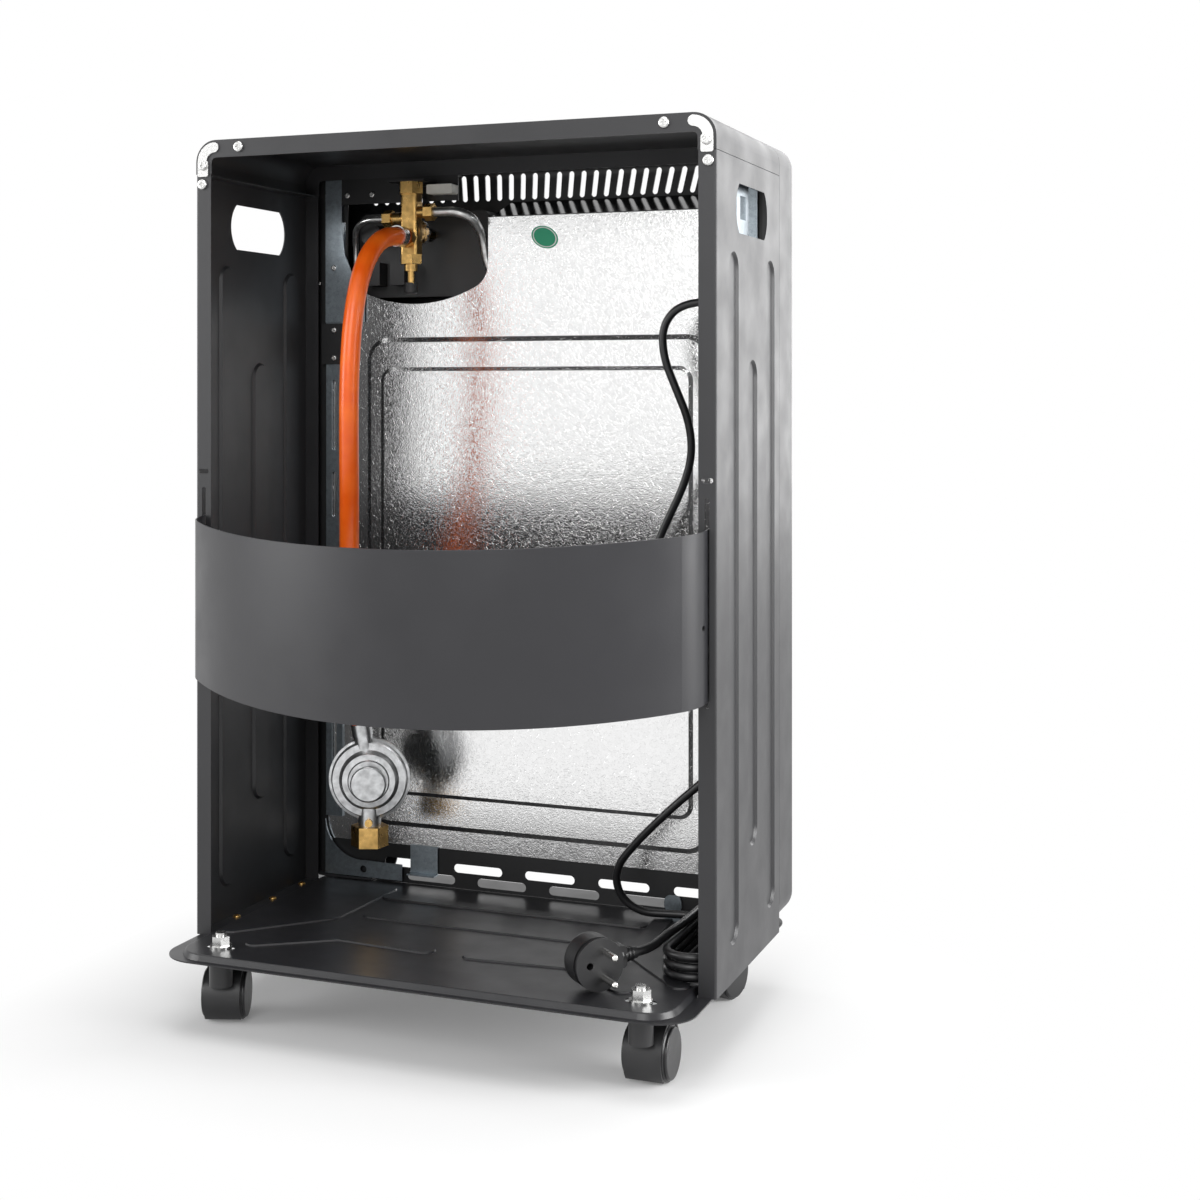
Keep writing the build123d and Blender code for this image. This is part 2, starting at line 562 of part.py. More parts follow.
def reflector():
    outer = rounded((-BURNER_X - 6, BURNER_X + 6), (BURNER_Z[0] - 6, BURNER_Z[1] + 6), 16)
    rim = extrude(facing_front(-233.0) * (outer - rounded((-BURNER_X + 1, BURNER_X - 1), (BURNER_Z[0] + 1, BURNER_Z[1] - 1), 12)), 0.5)
    front = facing_front(-232.6) * rounded((-BURNER_X, BURNER_X), BURNER_Z, 14)
    back = facing_front(-216.5) * rounded((-152.5, 152.5), (277.0, 541.5), 8)
    walls = loft([front, back])
    front_in = facing_front(-232.7) * rounded((-BURNER_X + 1, BURNER_X - 1), (BURNER_Z[0] + 1, BURNER_Z[1] - 1), 13)
    back_in = facing_front(-216.4) * rounded((-151.5, 151.5), (278.0, 540.5), 7)
    walls -= loft([front_in, back_in])
    floor = extrude(facing_front(-215.6) * rounded((-152.5, 152.5), (277.0, 384.0), 8), 1.0)
    return rim + walls + floor


def quartz_tubes():
    tubes = []
    for z in (305.0, 345.0):
        tubes.append(rod((-138.0, -222.5, z), (138.0, -222.5, z), 5.0))
        for side in (-1, 1):
            tubes.append(rod((side * 138.0, -222.5, z), (side * 149.0, -222.5, z), 5.6))
    return tubes


def pilot_assembly():
    bracket = block((132.0, 150.0), (-222.0, -220.8), (380.0, 400.0)) + block((132.0, 150.0), (-222.0, -216.6), (378.8, 380.0))
    burner = rod((136.0, -224.5, 384.0), (136.0, -224.5, 402.0), 2.4)
    sensor = rod((141.0, -224.0, 378.0), (141.0, -224.0, 406.0), 1.6)
    electrode = rod((146.5, -224.0, 380.0), (146.5, -224.0, 398.0), 2.2) + rod((146.5, -224.0, 398.0), (143.5, -224.0, 408.0), 0.8)
    return [bracket, burner, sensor, electrode]


def wire_guard():
    z_low, z_high = BURNER_Z[0] - 8, BURNER_Z[1] + 8
    upright_y = GUARD_Y + 2 * GUARD_WIRE_R + TOUCH
    wires = [rod((x, upright_y, z_low), (x, upright_y, z_high), GUARD_WIRE_R) for x in (-150, -75, 0, 75, 150)]
    count = 15
    for i in range(count):
        z = BURNER_Z[0] + 4 + i * (BURNER_Z[1] - BURNER_Z[0] - 8) / (count - 1)
        wires.append(rod((-162.0, GUARD_Y, z), (162.0, GUARD_Y, z), GUARD_WIRE_R))
    return wires


# Bottle band: a sheet strip on a three-centre arch, hooked into the rear flanges
def band_face(half, rise, end_r, start_y, tail_y):
    """Two small end arcs and one large arc, tangent to each other and square to the rear plane."""
    span = half - end_r
    centre = (span ** 2 - (rise - end_r) ** 2) / (2 * (rise - end_r))
    big = rise + centre
    join = (span * big / (big - end_r), start_y - centre + centre * big / (big - end_r))
    left = (-join[0], join[1])
    turn = math.radians(45)
    corner = (span + end_r * math.cos(turn * 0.5), start_y + end_r * math.sin(turn * 0.5))
    edges = Line((half, tail_y), (half, start_y))
    edges += ThreePointArc((half, start_y), corner, join)
    edges += ThreePointArc(join, (0, start_y + rise), left)
    edges += ThreePointArc(left, (-corner[0], corner[1]), (-half, start_y))
    edges += Line((-half, start_y), (-half, tail_y))
    edges += Line((-half, tail_y), (half, tail_y))
    return make_face(edges)


def bottle_band():
    tail = -6.0
    outer = band_face(BAND_HALF + SHEET / 2, BAND_RISE, BAND_END_R, BAND_START_Y, tail)
    inner = band_face(BAND_HALF - SHEET / 2, BAND_RISE - SHEET, BAND_END_R - SHEET, BAND_START_Y, tail - 5)
    strip = Pos(0, 0, 220) * extrude(outer - inner, 200)
    high = Pos(0, 0, BAND_TOP_Z) * Rot(-math.degrees(math.atan(BAND_TOP_DROOP / BAND_RISE)), 0, 0)
    low = Pos(0, 0, BAND_BOTTOM_Z) * Rot(-math.degrees(math.atan(BAND_BOTTOM_DROOP / BAND_RISE)), 0, 0)
    strip -= high * Box(600, 600, 120, align=(Align.CENTER, Align.CENTER, Align.MIN))
    strip -= low * Box(600, 600, 120, align=(Align.CENTER, Align.CENTER, Align.MAX))
    hooks = []
    for side in (-1, 1):
        x = sorted((side * (BAND_HALF - 0.5), side * (BAND_HALF - 7.0)))
        hooks.append(block(x, (tail, tail + SHEET), (BAND_BOTTOM_Z + 20, BAND_TOP_Z - 20)))
    strip += hooks
    return strip - rod((-BAND_HALF - 6, 8.0, 323.0), (-BAND_HALF + 6, 8.0, 323.0), 2.2)


# Castors: threaded studs with flange nuts, swivelling hoods and twin wheels
CASTORS = {
    "rear_left": (-STUD_X, STUD_REAR_Y, 0.0),
    "rear_right": (STUD_X, STUD_REAR_Y, 20.0),
    "front_left": (-STUD_X, STUD_FRONT_Y, 165.0),
    "front_right": (STUD_X, STUD_FRONT_Y, -150.0),
}
BOSS_TOP = 56.0


def castor_studs():
    pieces = []
    for x, y, turn in CASTORS.values():
        stud = rod((x, y, 44.0), (x, y, TRAY_TOP_Z + 11.5), STUD_R)
        stud += rod((x, y, BOSS_TOP + 0.4), (x, y, TRAY_TOP_Z - SHEET - TOUCH), 8.5)
        pieces.append(stud)
        nut = rod((x, y, TRAY_TOP_Z + TOUCH), (x, y, TRAY_TOP_Z + 1.6), 8.6)
        nut += hexagon((x, y, TRAY_TOP_Z + 1.6), (x, y, TRAY_TOP_Z + 9.0), 13.0)
        pieces.append(nut - rod((x, y, 50), (x, y, 90), STUD_R))
    return pieces


def castor_place(name):
    x, y, turn = CASTORS[name]
    return Pos(x, y, 0) * Rot(0, 0, turn)


def castor_housing(name):
    """Hood, web and boss. In its own frame the stem is the Z axis and the axle trails towards -Y."""
    axle = (-TRAIL, WHEEL_R)
    shell_r, lining_r, half_wide = 23.0, 21.2, 14.0
    profile = Pos(*axle) * (Circle(shell_r) - Circle(lining_r))
    keep = Polyline((-60, 26), (-60, 60), (40, 60), (40, 4), (axle[0], 4), (axle[0], WHEEL_R), (-60, 26), close=True)
    hood = extrude(facing_right(-half_wide) * (profile & make_face(keep)), 2 * half_wide)
    web = Pos(*axle) * Circle(lining_r + 0.6)
    web_keep = Polyline((-60, 14), (-60, 60), (40, 60), (40, 8), (-10, 8), (-60, 14), close=True)
    hood += extrude(facing_right(-4.0) * (web & make_face(web_keep)), 8.0)
    hood += rod((0, 0, 33.0), (0, 0, BOSS_TOP), 9.0)
    wheel_room = [rod((s * 4.2, axle[0], axle[1]), (s * 14.2, axle[0], axle[1]), lining_r) for s in (-1, 1)]
    hood -= wheel_room
    hood -= block((-7.0, 7.0), (0, 20), (0, 11.0))
    hood -= rod((-10, axle[0], axle[1]), (10, axle[0], axle[1]), 2.5 + RUNNING)
    hood -= rod((0, 0, 42.0), (0, 0, 60.0), STUD_R + RUNNING)
    return castor_place(name) * hood


def castor_wheels(name):
    y, z = -TRAIL, WHEEL_R
    axle = rod((-16.0, y, z), (16.0, y, z), 2.5)
    for s in (-1, 1):
        wheel = rod((s * 4.6, y, z), (s * 14.8, y, z), WHEEL_R)
        wheel = chamfer(wheel.edges().filter_by(GeomType.CIRCLE), 0.8)
        cap = rod((s * 14.8, y, z), (s * 17.0, y, z), WHEEL_R - 1.6)
        cap = fillet(cap.edges().sort_by(Axis.X)[0 if s < 0 else -1], 1.4)
        axle += wheel + cap
    return castor_place(name) * axle


# Hose and regulator, hanging loose inside the bottle bay
HOSE_ROUTE = [
    (103.0, -146.0, 622.0), (103.0, -120.0, 622.0), (103.5, -92.2, 610.8), (104.0, -70.4, 587.4),
    (104.5, -56.7, 549.8), (105.0, -51.5, 500.1), (106.5, -54.5, 447.0), (110.0, -62.0, 394.0),
    (117.0, -75.0, 343.0), (125.5, -93.5, 295.0), (131.3, -111.3, 250.5), (126.0, -114.0, 213.0),
]
HOSE_END = Vector(*HOSE_ROUTE[-1])
HOSE_DOWN = (HOSE_END - Vector(*HOSE_ROUTE[-2])).normalized()
COLLAR_END = HOSE_END + HOSE_DOWN * 10
REGULATOR = tuple(HOSE_END + HOSE_DOWN * 46.4)


def hose_clamps():
    clamps = []
    ends = [(HOSE_ROUTE[0], HOSE_ROUTE[1]), (HOSE_ROUTE[-1], HOSE_ROUTE[-2])]
    for end, inward in ends:
        a, b = Vector(*end), Vector(*inward)
        along = (b - a).normalized()
        low, high = a + along * 3, a + along * 12
        band = rod(low, high, HOSE_D / 2 + 1.0) - rod(low - along, high + along, HOSE_D / 2 + 0.05)
        side = along.cross(Vector(0, 0, 1) if abs(along.Z) < 0.5 else Vector(0, 1, 0)).normalized()
        middle = (low + high) * 0.5
        housing = Plane(origin=middle + side * (HOSE_D / 2 + 3.2), x_dir=side, z_dir=along) * Box(5.0, 11.0, 7.5)
        clamps.append(band + housing)
    return clamps


REGULATOR_TURN = 22.0
INLET_Z = 128.0


def regulator_place():
    """Local Z is up and local Y is the way the cap faces."""
    return Pos(*REGULATOR) * Rot(0, 0, REGULATOR_TURN)


def regulator_body():
    half = Polyline(
        (0, -14), (24, -14), (29, -9), (32, -2.5), (34, -2.0), (34, 2.5), (32, 3.0),
        (30.5, 7.0), (25.0, 7.6), (22.0, 12.0), (17.5, 12.6), (16.5, 14.0), (0, 14.0), close=True,
    )
    disc = revolve(Plane.XY * make_face(half), axis=Axis.Y)
    inlet = rod((0, 0, 0), (0, 0, INLET_Z - REGULATOR[2]), 9.5)
    screw_z = INLET_Z - REGULATOR[2] + 4.0
    screw_seat = rod((0, 7.0, screw_z), (0, 13.0, screw_z), 3.2 + TOUCH)
    return regulator_place() * (disc + inlet - screw_seat) + rod(REGULATOR, COLLAR_END, 8.0)


def regulator_cap():
    cap = rod((0, 14.0, -2.0), (0, 18.5, -2.0), 15.0)
    return regulator_place() * fillet(cap.edges().group_by(Axis.Y)[-1], 2.0)


def regulator_collar():
    return rod(COLLAR_END, HOSE_END, 8.6)


def regulator_nut():
    """The left-handed bottle nut, and the test screw in the inlet above it."""
    top = INLET_Z - REGULATOR[2]
    nut = hexagon((0, 0, top - 17.0), (0, 0, top), 27.0) - rod((0, 0, top - 20.0), (0, 0, top - 7.5), 10.2)
    screw = rod((0, 7.0 + TOUCH, top + 4.0), (0, 13.0, top + 4.0), 3.2)
    return [regulator_place() * nut, regulator_place() * screw]


# Junction box and gland where the mains lead enters
def junction_box():
    box = block((-211.9, -191.0), (-166.0, -114.0), (532.0, 590.0))
    box = fillet(box.edges().filter_by(Axis.X), 4.0)
    return box - block((-220, -193.0), (-163.5, -116.5), (534.5, 587.5))


LEAD_ROUTE = [
    (-169.0, -140.0, 562.0), (-147.0, -140.0, 562.0), (-129.5, -141.0, 545.0), (-129.5, -143.0, 519.0),
    (-139.0, -147.0, 493.0), (-148.5, -152.0, 467.0), (-150.0, -156.0, 440.0), (-141.0, -159.0, 413.0),
    (-128.0, -160.5, 388.0), (-116.0, -160.0, 361.0), (-110.5, -157.5, 331.0), (-115.0, -152.0, 300.0),
    (-133.0, -144.0, 273.0), (-162.0, -135.0, 258.0), (-189.0, -128.0, 240.0), (-192.0, -124.0, 209.0),
    (-170.0, -123.0, 187.0), (-147.0, -127.0, 167.0), (-126.0, -132.0, 147.0), (-106.0, -139.0, 127.0),
    (-88.0, -146.0, 105.0), (-88.5, -152.0, 82.0), (-105.0, -158.0, 67.9), (-128.0, -165.0, 67.3),
    (-150.0, -169.0, 67.3), (-168.5, -151.0, 67.3), (-168.5, -122.0, 67.3),
]
PLUG_FACE = (-139.0, 33.0, 83.3)
PLUG_TURN = 46.0
PLUG_EXIT = 235.0
EXIT_DIR = Vector(math.cos(math.radians(PLUG_EXIT)), math.sin(math.radians(PLUG_EXIT)), 0)
PLUG_DIR = Vector(-math.sin(math.radians(PLUG_TURN)), math.cos(math.radians(PLUG_TURN)), 0)
PLUG_MOUTH = Vector(*PLUG_FACE) - PLUG_DIR * 12 + EXIT_DIR * 16
RELIEF_END = PLUG_MOUTH + EXIT_DIR * 22
HANK_LEVEL = 67.3
HANK_EXIT_Z = HANK_LEVEL + HANK_TURNS * HANK_CLIMB
PLUG_ROUTE = [
    (HANK_X + HANK_R, HANK_Y[0], HANK_EXIT_Z), (-168.5, -98.0, HANK_EXIT_Z), (-168.2, -72.0, 88.9), (-165.5, -40.0, 88.7),
    tuple(RELIEF_END + EXIT_DIR * 13), tuple(RELIEF_END),
]


def cord_gland():
    start = (-191.0, -140.0, 562.0)
    nut = hexagon(start, (-186.0, -140.0, 562.0), 16.0)
    cone = Plane(origin=(-186.0, -140.0, 562.0), z_dir=(1, 0, 0)) * Cone(6.5, 4.2, 17.0, align=(Align.CENTER, Align.CENTER, Align.MIN))
    rings = [rod((x, -140.0, 562.0), (x + 1.2, -140.0, 562.0), 7.2 - 0.16 * (x + 186)) for x in (-183.0, -179.5, -176.0, -172.5)]
    return nut + cone + rings


# Hank of spare lead: an oval coil that climbs one layer along each outer run
def cord_hank():
    inner, outer = HANK_X + HANK_R, HANK_X - HANK_R
    low_y, high_y = HANK_Y
    middle_y = (low_y + high_y) / 2
    half_run, half_climb = (high_y - low_y) / 2, HANK_CLIMB / 2
    arc_r = (half_run ** 2 + half_climb ** 2) / (2 * half_climb)
    sag = arc_r - math.sqrt(arc_r ** 2 - (half_run / 2) ** 2)
    edges = []
    for turn in range(HANK_TURNS):
        z = HANK_LEVEL + turn * HANK_CLIMB
        up = z + HANK_CLIMB
        edges.append(Line((inner, low_y, z), (inner, high_y, z)))
        edges.append(ThreePointArc((inner, high_y, z), (HANK_X, high_y + HANK_R, z), (outer, high_y, z)))
        edges.append(ThreePointArc((outer, high_y, z), (outer, high_y - half_run / 2, z + sag), (outer, middle_y, z + half_climb)))
        edges.append(ThreePointArc((outer, middle_y, z + half_climb), (outer, low_y + half_run / 2, up - sag), (outer, low_y, up)))
        edges.append(ThreePointArc((outer, low_y, up), (HANK_X, low_y - HANK_R, up), (inner, low_y, up)))
    path = Wire(edges)
    solid = sweep(Plane(origin=(inner, low_y, HANK_LEVEL), z_dir=(0, 1, 0)) * Circle(CORD_D / 2), path=path)
    steps = 720
    points = [path.position_at(i / steps) for i in range(steps + 1)]
    spacing = path.length / steps
    skip = int(60 / spacing)
    gap = min((points[i] - points[j]).length for i in range(0, steps, 3) for j in range(i + skip, steps + 1)) - CORD_D
    expected = math.pi * (CORD_D / 2) ** 2 * path.length
    print(f"hank: length {path.length:.1f} mm, least gap {gap:.2f} mm, volume {solid.volume / expected:.3f} of section x length")
    return solid


def cord_tie():
    x, y = HANK_X, -78.0
    reach = HANK_R + CORD_D / 2 + 0.8
    top = HANK_EXIT_Z - HANK_CLIMB / 2 + CORD_D / 2 + 2.0
    strap = block((x - reach, x - HANK_R + 4.3), (y - 5, y + 5), (62.7, top))
    return strap - block((x - reach + 0.6, x - HANK_R + 3.7), (y - 6, y + 6), (63.3, top - 0.6))


# Earthed plug with its lead leaving at the side, lying on the tray
def plug_frame():
    return Plane(origin=PLUG_FACE, x_dir=(-PLUG_DIR.Y, PLUG_DIR.X, 0), z_dir=PLUG_DIR)


def plug_body():
    place = plug_frame()
    back = Pos(0, 0, -24) * Cylinder(18.8, 24, align=(Align.CENTER, Align.CENTER, Align.MIN))
    back = fillet(back.edges().group_by(Axis.Z)[0], 5.0)
    face = Pos(0, 0, -3) * (Cylinder(19, 4) - Cylinder(17.6, 4))
    grip = Pos(20, 0, -16) * Box(14, 16, 11)
    grip = fillet(grip.edges().filter_by(Axis.Z), 3.0)
    body = back + grip - face
    body -= Pos(-8.0, 0, -8) * Cylinder(2.6, 20)
    body = place * body
    cone = Plane(origin=PLUG_MOUTH, z_dir=EXIT_DIR) * Cone(6.4, 4.2, 22.0, align=(Align.CENTER, Align.CENTER, Align.MIN))
    rings = [rod(PLUG_MOUTH + EXIT_DIR * d, PLUG_MOUTH + EXIT_DIR * (d + 1.3), 7.0 - 0.11 * d) for d in (6.0, 9.5, 13.0, 16.5)]
    root = rod(PLUG_MOUTH - EXIT_DIR * 6, PLUG_MOUTH, 6.4)
    return body + root + cone + rings


def plug_pins():
    place = plug_frame()
    pins = []
    for offset in (-9.5, 9.5):
        pin = Pos(3.0, offset, 0.0) * Cylinder(2.4, 19.0, align=(Align.CENTER, Align.CENTER, Align.MIN))
        pins.append(place * fillet(pin.edges().group_by(Axis.Z)[-1], 1.6))
    return pins


def group(pieces):
    return Compound(children=[piece if isinstance(piece, (Solid, Part, Compound)) else Part() + piece for piece in pieces])


save("base_tray", base_tray())
right_panel = side_panel()
save("right_side_panel", right_panel)
save("left_side_panel", mirrored(right_panel))
save("top_shell", top_shell())
save("corner_brackets", group(corner_brackets()))
save("screws", group(all_screws()))
save("tray_rivets", group(tray_rivets()))
save("front_frame", front_frame())
save("inner_frame", inner_frame())
save("heat_shield", heat_shield())
save("sticker", sticker())
save("shield_columns", group(shield_columns()))
save("column_plates", group(column_plates()))
save("galvanised_brackets", group(galvanised_brackets()))
save("air_deflector", air_deflector())
save("control_pocket", control_pocket())
save("control_knob", control_knob())
save("knob_spindle", knob_spindle())
save("cam_disc", cam_disc())
save("igniter_button", igniter_button())
save("switch_bodies", group(switch_bodies()))
save("rocker_left", rocker(128.0))
save("rocker_right", rocker(152.0))
save("gas_valve_body", gas_valve_body())
save("valve_fittings", group(valve_fittings()))
save("magnet_unit", magnet_unit())
save("magnet_cap", magnet_cap())
save("valve_bracket", valve_bracket())
save("ceramic_block", ceramic_block())
save("gas_pipes", group(gas_pipes()))
save("burner_box", burner_box())
save("ceramic_plaques", group(ceramic_plaques()))
save("reflector", reflector())
save("quartz_tubes", group(quartz_tubes()))
save("pilot_assembly", group(pilot_assembly()))
save("wire_guard", group(wire_guard()))
save("bottle_band", bottle_band())
save("castor_studs", group(castor_studs()))
for castor in CASTORS:
    save(f"castor_{castor}_housing", castor_housing(castor))
    save(f"castor_{castor}_wheels", castor_wheels(castor))
save("gas_hose", tube("gas hose", HOSE_ROUTE, HOSE_D / 2))
save("hose_clamps", group(hose_clamps()))
save("regulator_body", regulator_body())
save("regulator_cap", regulator_cap())
save("regulator_collar", regulator_collar())
save("regulator_nut", group(regulator_nut()))
save("junction_box", junction_box())
save("cord_gland", cord_gland())
save("power_cord", tube("mains lead", LEAD_ROUTE, CORD_D / 2))
save("cord_hank", cord_hank())
save("cord_tie", cord_tie())
save("plug_cord", tube("plug lead", PLUG_ROUTE, CORD_D / 2))
save("plug_body", plug_body())
save("plug_pins", group(plug_pins()))
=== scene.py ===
import math
import bpy
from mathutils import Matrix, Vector


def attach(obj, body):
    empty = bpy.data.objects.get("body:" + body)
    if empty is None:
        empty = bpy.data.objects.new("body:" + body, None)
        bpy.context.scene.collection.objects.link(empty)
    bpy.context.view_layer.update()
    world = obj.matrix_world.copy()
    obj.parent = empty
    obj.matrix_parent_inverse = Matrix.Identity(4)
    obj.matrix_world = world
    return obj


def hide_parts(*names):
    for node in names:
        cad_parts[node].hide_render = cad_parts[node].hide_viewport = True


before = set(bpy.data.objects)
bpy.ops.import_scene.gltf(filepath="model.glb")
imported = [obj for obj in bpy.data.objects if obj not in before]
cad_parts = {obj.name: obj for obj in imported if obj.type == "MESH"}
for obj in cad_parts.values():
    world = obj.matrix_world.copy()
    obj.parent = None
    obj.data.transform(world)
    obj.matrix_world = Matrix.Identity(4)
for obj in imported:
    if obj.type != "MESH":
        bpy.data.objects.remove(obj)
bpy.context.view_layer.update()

# The camera stands behind the open back, to the left of the heater, at about two thirds of its height.
# The heater is photographed from 1.5 m with a short telephoto lens.
camera = bpy.data.objects.new("camera", bpy.data.cameras.new("camera"))
bpy.context.scene.collection.objects.link(camera)
camera.location = (-0.5852, 1.34825, 0.4917)
ahead = Vector((0.3767, -0.9263, 0.0))
camera.rotation_euler = ahead.to_track_quat("-Z", "Y").to_euler()
camera.data.sensor_width = 36.0
camera.data.lens = 55.93
camera.data.shift_x = 0.0667
camera.data.shift_y = -0.1745
bpy.context.scene.camera = camera
bpy.context.scene.view_settings.view_transform = "Standard"


# Tools for the finishes: a field is a value that varies over a surface,
# and a finish is a material whose colour, roughness and relief follow such fields.
class Field:
    """A value that varies over a surface, joined to others with plain arithmetic."""

    def __init__(self, tree, socket):
        self.tree, self.socket = tree, socket

    def join(self, kind, other=None, third=None):
        node = self.tree.nodes.new("ShaderNodeMath")
        node.operation = kind
        for slot, value in zip(node.inputs, (self, other, third)):
            if isinstance(value, Field):
                self.tree.links.new(value.socket, slot)
            elif value is not None:
                slot.default_value = value
        return Field(self.tree, node.outputs[0])

    def __add__(self, other):
        return self.join("ADD", other)

    def __sub__(self, other):
        return self.join("SUBTRACT", other)

    def __mul__(self, other):
        return self.join("MULTIPLY", other)

    def spread(self, low, high, to_low=0.0, to_high=1.0):
        node = self.tree.nodes.new("ShaderNodeMapRange")
        for slot, value in zip(node.inputs[1:5], (low, high, to_low, to_high)):
            slot.default_value = value
        self.tree.links.new(self.socket, node.inputs[0])
        return Field(self.tree, node.outputs[0])

    def tint(self, dark, light):
        node = self.tree.nodes.new("ShaderNodeValToRGB")
        node.color_ramp.elements[0].color = (*dark, 1)
        node.color_ramp.elements[1].color = (*light, 1)
        self.tree.links.new(self.socket, node.inputs[0])
        return Field(self.tree, node.outputs[0])


class Finish:
    """One surface finish, worked out from places on the object."""

    def __init__(self, name, colour, rough, metal=0.0, coat=0.0):
        self.made = bpy.data.materials.new(name)
        self.made.use_nodes = True
        self.tree = self.made.node_tree
        self.shader = self.tree.nodes["Principled BSDF"]
        self.shader.inputs["Base Color"].default_value = (*colour, 1)
        self.shader.inputs["Roughness"].default_value = rough
        self.shader.inputs["Metallic"].default_value = metal
        self.shader.inputs["Coat Weight"].default_value = coat
        self.place = self.tree.nodes.new("ShaderNodeTexCoord").outputs["Object"]

    def axes(self):
        node = self.tree.nodes.new("ShaderNodeSeparateXYZ")
        self.tree.links.new(self.place, node.inputs[0])
        return [Field(self.tree, out) for out in node.outputs]

    def cloud(self, size, detail=3.0, stretch=(1, 1, 1), swirl=0.0):
        """Noise whose lumps are about size metres across, before it is stretched."""
        node = self.tree.nodes.new("ShaderNodeTexNoise")
        node.inputs["Scale"].default_value = 1 / size
        node.inputs["Detail"].default_value = detail
        node.inputs["Distortion"].default_value = swirl
        place = self.place
        if stretch != (1, 1, 1):
            mapping = self.tree.nodes.new("ShaderNodeMapping")
            mapping.inputs["Scale"].default_value = stretch
            self.tree.links.new(place, mapping.inputs[0])
            place = mapping.outputs[0]
        self.tree.links.new(place, node.inputs["Vector"])
        return Field(self.tree, node.outputs[0])

    def crystals(self, size):
        """Flat cells about size metres across, each with its own level from 0 to 1."""
        node = self.tree.nodes.new("ShaderNodeTexVoronoi")
        node.inputs["Scale"].default_value = 1 / size
        self.tree.links.new(self.place, node.inputs["Vector"])
        level = self.tree.nodes.new("ShaderNodeSeparateXYZ")
        self.tree.links.new(node.outputs["Color"], level.inputs[0])
        return Field(self.tree, level.outputs[0])

    def set(self, name, field):
        self.tree.links.new(field.socket, self.shader.inputs[name])

    def bump(self, field, height):
        node = self.tree.nodes.new("ShaderNodeBump")
        node.inputs["Strength"].default_value = 1.0
        node.inputs["Distance"].default_value = height
        self.tree.links.new(field.socket, node.inputs["Height"])
        self.tree.links.new(node.outputs[0], self.shader.inputs["Normal"])


def shade(colour, factor):
    return tuple(factor * c for c in colour)


# Folded steel sheet of the cabinet: side panels, top shell and front frame.
# It is powder coated in charcoal, so the coat has a fine orange peel and a soft sheen.
def coat_steel(name, colour, rough, peel=0.00004):
    finish = Finish(name, colour, rough)
    drift = finish.cloud(0.09)
    finish.set("Base Color", drift.spread(0.3, 0.7).tint(shade(colour, 0.9), shade(colour, 1.1)))
    finish.set("Roughness", finish.cloud(0.03).spread(0.3, 0.7, rough - 0.04, rough + 0.05))
    finish.bump(finish.cloud(0.0016, 2.0), peel)
    return finish.made


def dress(material, *nodes):
    for node in nodes:
        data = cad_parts[node].data
        data.materials.clear()
        data.materials.append(material)


charcoal = coat_steel("charcoal_powder_coat", (0.021, 0.021, 0.023), 0.4)
dress(charcoal, "right_side_panel", "left_side_panel", "top_shell", "front_frame")

# Base tray: one pressed sheet with stiffening ridges, coated like the cabinet, its colour set darker as
# painted shade for the dim bay it lies in.
# Its upper face is a little smoother, where bottles slide over it.
tray_shaded_coat = coat_steel("tray_painted_shade_coat", (0.014, 0.014, 0.016), 0.33)
dress(tray_shaded_coat, "base_tray")

# Black inner sheets: the frame round the heater, column plates and valve bracket.
# Their near-black colour, darker than the cabinet's coat, is painted shade for the dark of the bay they sit
# in.
inner_shaded_black = coat_steel("inner_painted_shade_black", (0.009, 0.009, 0.010), 0.45)
dress(inner_shaded_black, "inner_frame", "column_plates", "valve_bracket")

# Air deflector: a smooth black enamelled slope under the vent slots.
# It leads warm air out through them, and mirrors them.
deflector_enamel = coat_steel("deflector_enamel", (0.012, 0.012, 0.013), 0.14, 0.00001)
dress(deflector_enamel, "air_deflector")


# Heat shield: thin galvanised sheet, bright as a dull mirror, with a fine worm-like grain.
# Handling has left faint cloudy stains on it.
def zinc_sheet(name, colour, rough, crystal, grain, depth=0.9):
    finish = Finish(name, colour, rough, metal=1.0)
    flakes = finish.crystals(crystal)
    specks = finish.cloud(0.0026, 1.0, swirl=2.5)
    stains = finish.cloud(0.12, 4.0)
    level = flakes * 0.2 + specks * 0.6 + stains * 0.3
    finish.set("Base Color", level.spread(0.35, 0.72).tint(shade(colour, depth), colour))
    finish.set("Roughness", specks.spread(0.3, 0.7, rough - 0.03, rough + 0.05))
    finish.bump(specks * 0.8 + flakes * 0.2, grain)
    return finish.made


dress(zinc_sheet("galvanised_sheet", (0.93, 0.93, 0.93), 0.12, 0.003, 0.00016), "heat_shield")

# Columns and small brackets: thicker galvanised steel that has gone blue-grey.
# The flange nuts, screws and hook plates are bright zinc plate.
dress(zinc_sheet("weathered_galvanised", (0.36, 0.41, 0.45), 0.34, 0.003, 0.00004, 0.7),
      "shield_columns", "galvanised_brackets", "burner_box")
dress(zinc_sheet("zinc_plate", (0.64, 0.64, 0.63), 0.24, 0.0015, 0.00001),
      "corner_brackets", "screws", "castor_studs", "cam_disc", "hose_clamps", "pilot_assembly")


# Brass of the valve, unions and bottle nut: forged and machined, with a faint tarnish.
# The rivets of the tray have the same yellow plating.
def brass_of(name, colour, rough):
    finish = Finish(name, colour, rough, metal=1.0)
    tarnish = finish.cloud(0.006, 4.0)
    finish.set("Base Color", tarnish.spread(0.3, 0.7).tint(shade(colour, 0.6), colour))
    finish.set("Roughness", tarnish.spread(0.3, 0.7, rough + 0.14, rough))
    finish.bump(finish.cloud(0.0008, 2.0), 0.00002)
    return finish.made


dress(brass_of("valve_brass", (0.80, 0.50, 0.17), 0.24), "gas_valve_body", "valve_fittings", "magnet_unit",
      "regulator_nut", "knob_spindle", "tray_rivets")
dress(brass_of("drawn_aluminium", (0.78, 0.78, 0.77), 0.28), "gas_pipes")

